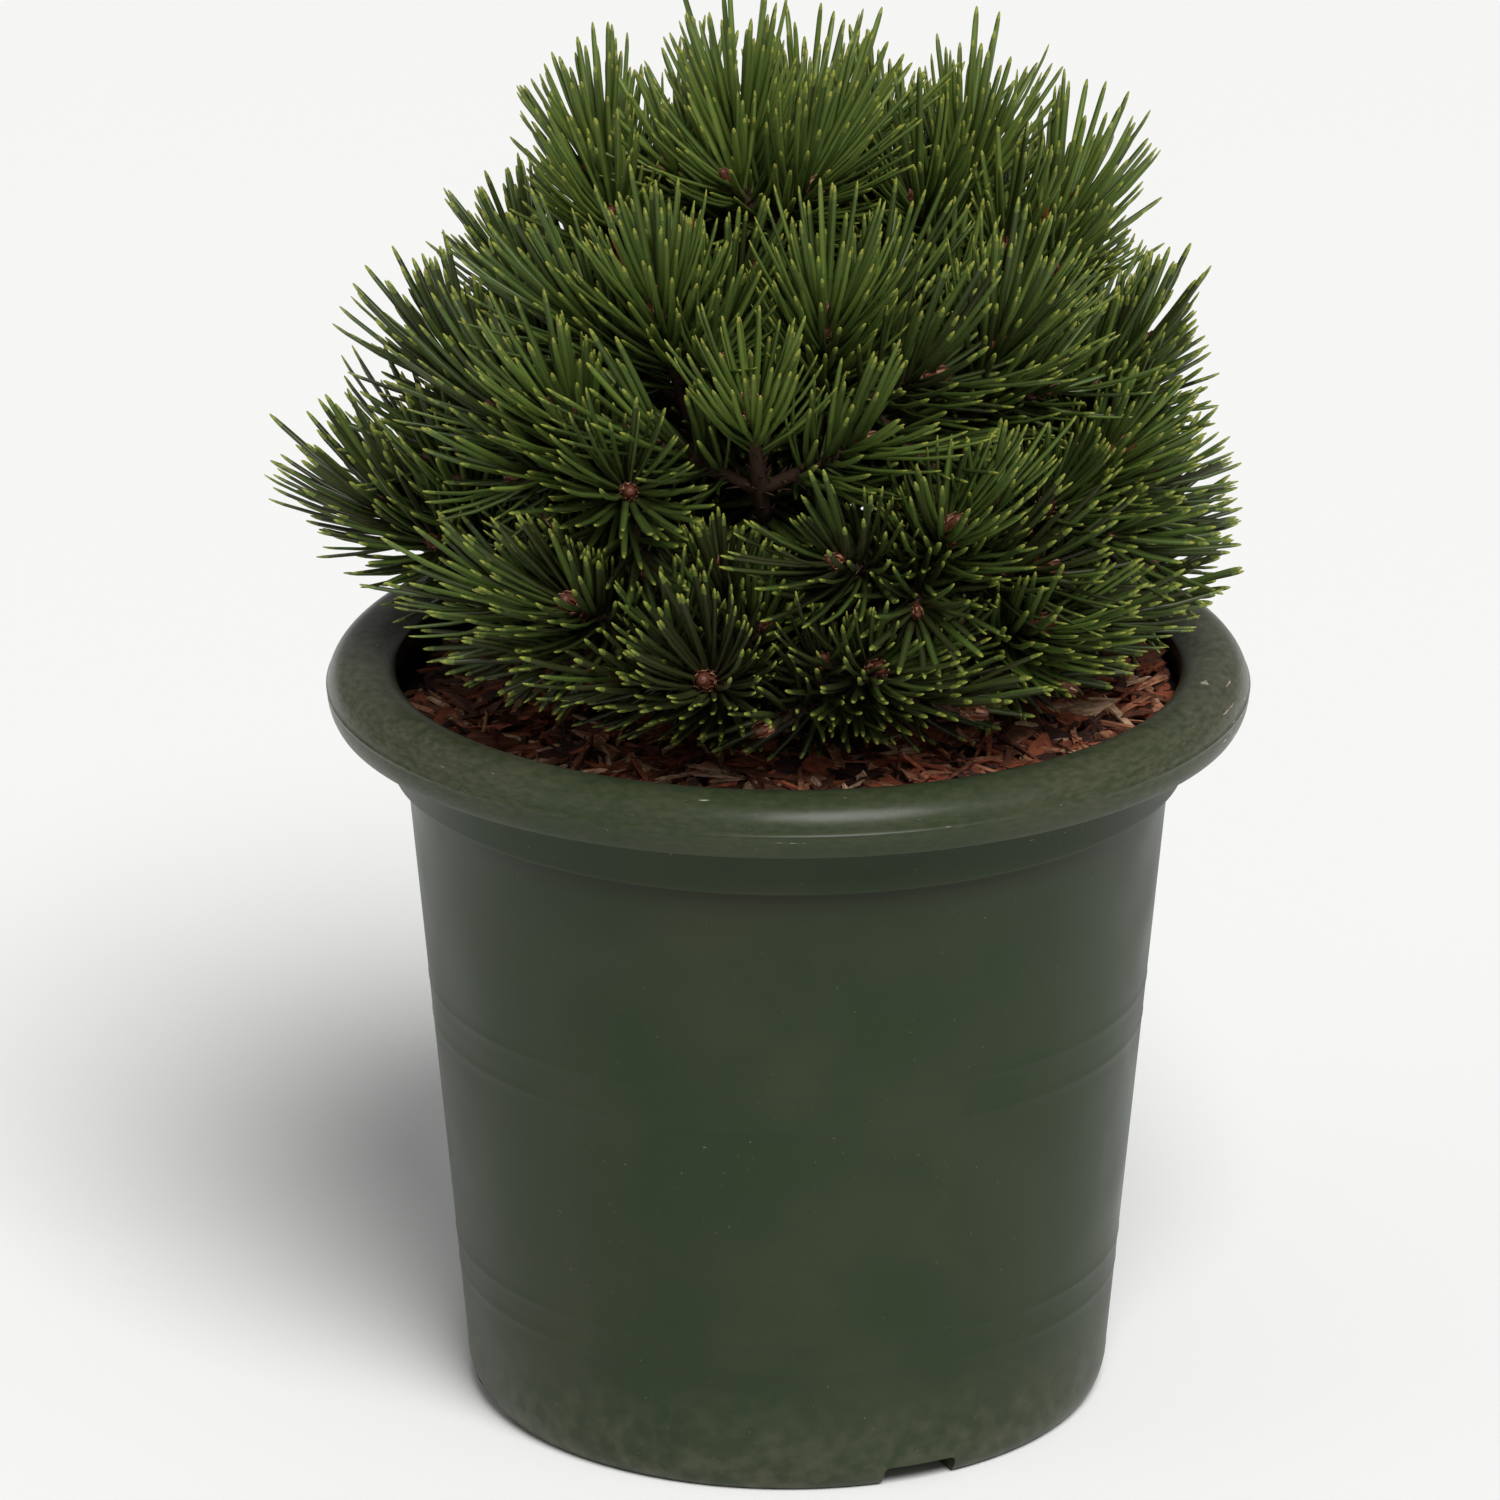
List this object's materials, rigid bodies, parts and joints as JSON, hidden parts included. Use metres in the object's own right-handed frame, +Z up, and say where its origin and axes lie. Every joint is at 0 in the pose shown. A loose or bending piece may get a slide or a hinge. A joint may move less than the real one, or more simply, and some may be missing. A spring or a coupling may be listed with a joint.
{
  "type": "potted dwarf bosnian pine",
  "caption": "Dwarf Bosnian pine: a rounded mound of long needles on short boughs, in a round tapered nursery pot with a rolled rim, topped with bark mulch.",
  "frame": {"origin": "middle of the object's bounding box, at the foot of the pot", "axes": "+Z up, -Y towards the viewer of the picture, +X to that viewer's right"},
  "size_m": [0.2502, 0.2447, 0.3608],
  "materials": {
    "plastic": "satin moulded polyethylene, dark green",
    "mulch": "rough red-brown bark chips",
    "bark": "rough grey-brown pine bark",
    "needles": "waxy dark green needles with paler tips"
  },
  "bodies": {
    "root": {"bough_foot_back": "bark", "bough_foot_back_left": "bark", "bough_foot_back_right": "bark", "bough_foot_front": "bark", "bough_foot_front_left": "bark", "bough_foot_left": "bark", "bough_foot_right": "bark", "bough_foot_right_back": "bark", "bough_front_right": "bark", "bough_middle_front": "bark", "bough_middle_left": "bark", "bough_shoulder_left": "bark", "bough_shoulder_right": "bark", "bough_side_left": "bark", "bough_side_right": "bark", "bough_top_back": "bark", "bough_top_left": "bark", "bough_top_right": "bark", "bough_upper_back": "bark", "bough_upper_back_right": "bark", "bough_upper_front": "bark", "bough_upper_left": "bark", "bough_upper_left_back": "bark", "bough_upper_right": "bark", "bough_upper_right_back": "bark", "foliage_foot_back": "needles", "foliage_foot_back_left": "needles", "foliage_foot_back_right": "needles", "foliage_foot_front": "needles", "foliage_foot_front_left": "needles", "foliage_foot_left": "needles", "foliage_foot_right": "needles", "foliage_foot_right_back": "needles", "foliage_front_right": "needles", "foliage_middle_front": "needles", "foliage_middle_left": "needles", "foliage_shoulder_left": "needles", "foliage_shoulder_right": "needles", "foliage_side_left": "needles", "foliage_side_right": "needles", "foliage_top": "needles", "foliage_top_back": "needles", "foliage_top_left": "needles", "foliage_top_right": "needles", "foliage_upper_back": "needles", "foliage_upper_back_right": "needles", "foliage_upper_front": "needles", "foliage_upper_left": "needles", "foliage_upper_left_back": "needles", "foliage_upper_right": "needles", "foliage_upper_right_back": "needles", "pot": "plastic", "soil": "mulch", "trunk": "bark"}
  },
  "joints": []
}
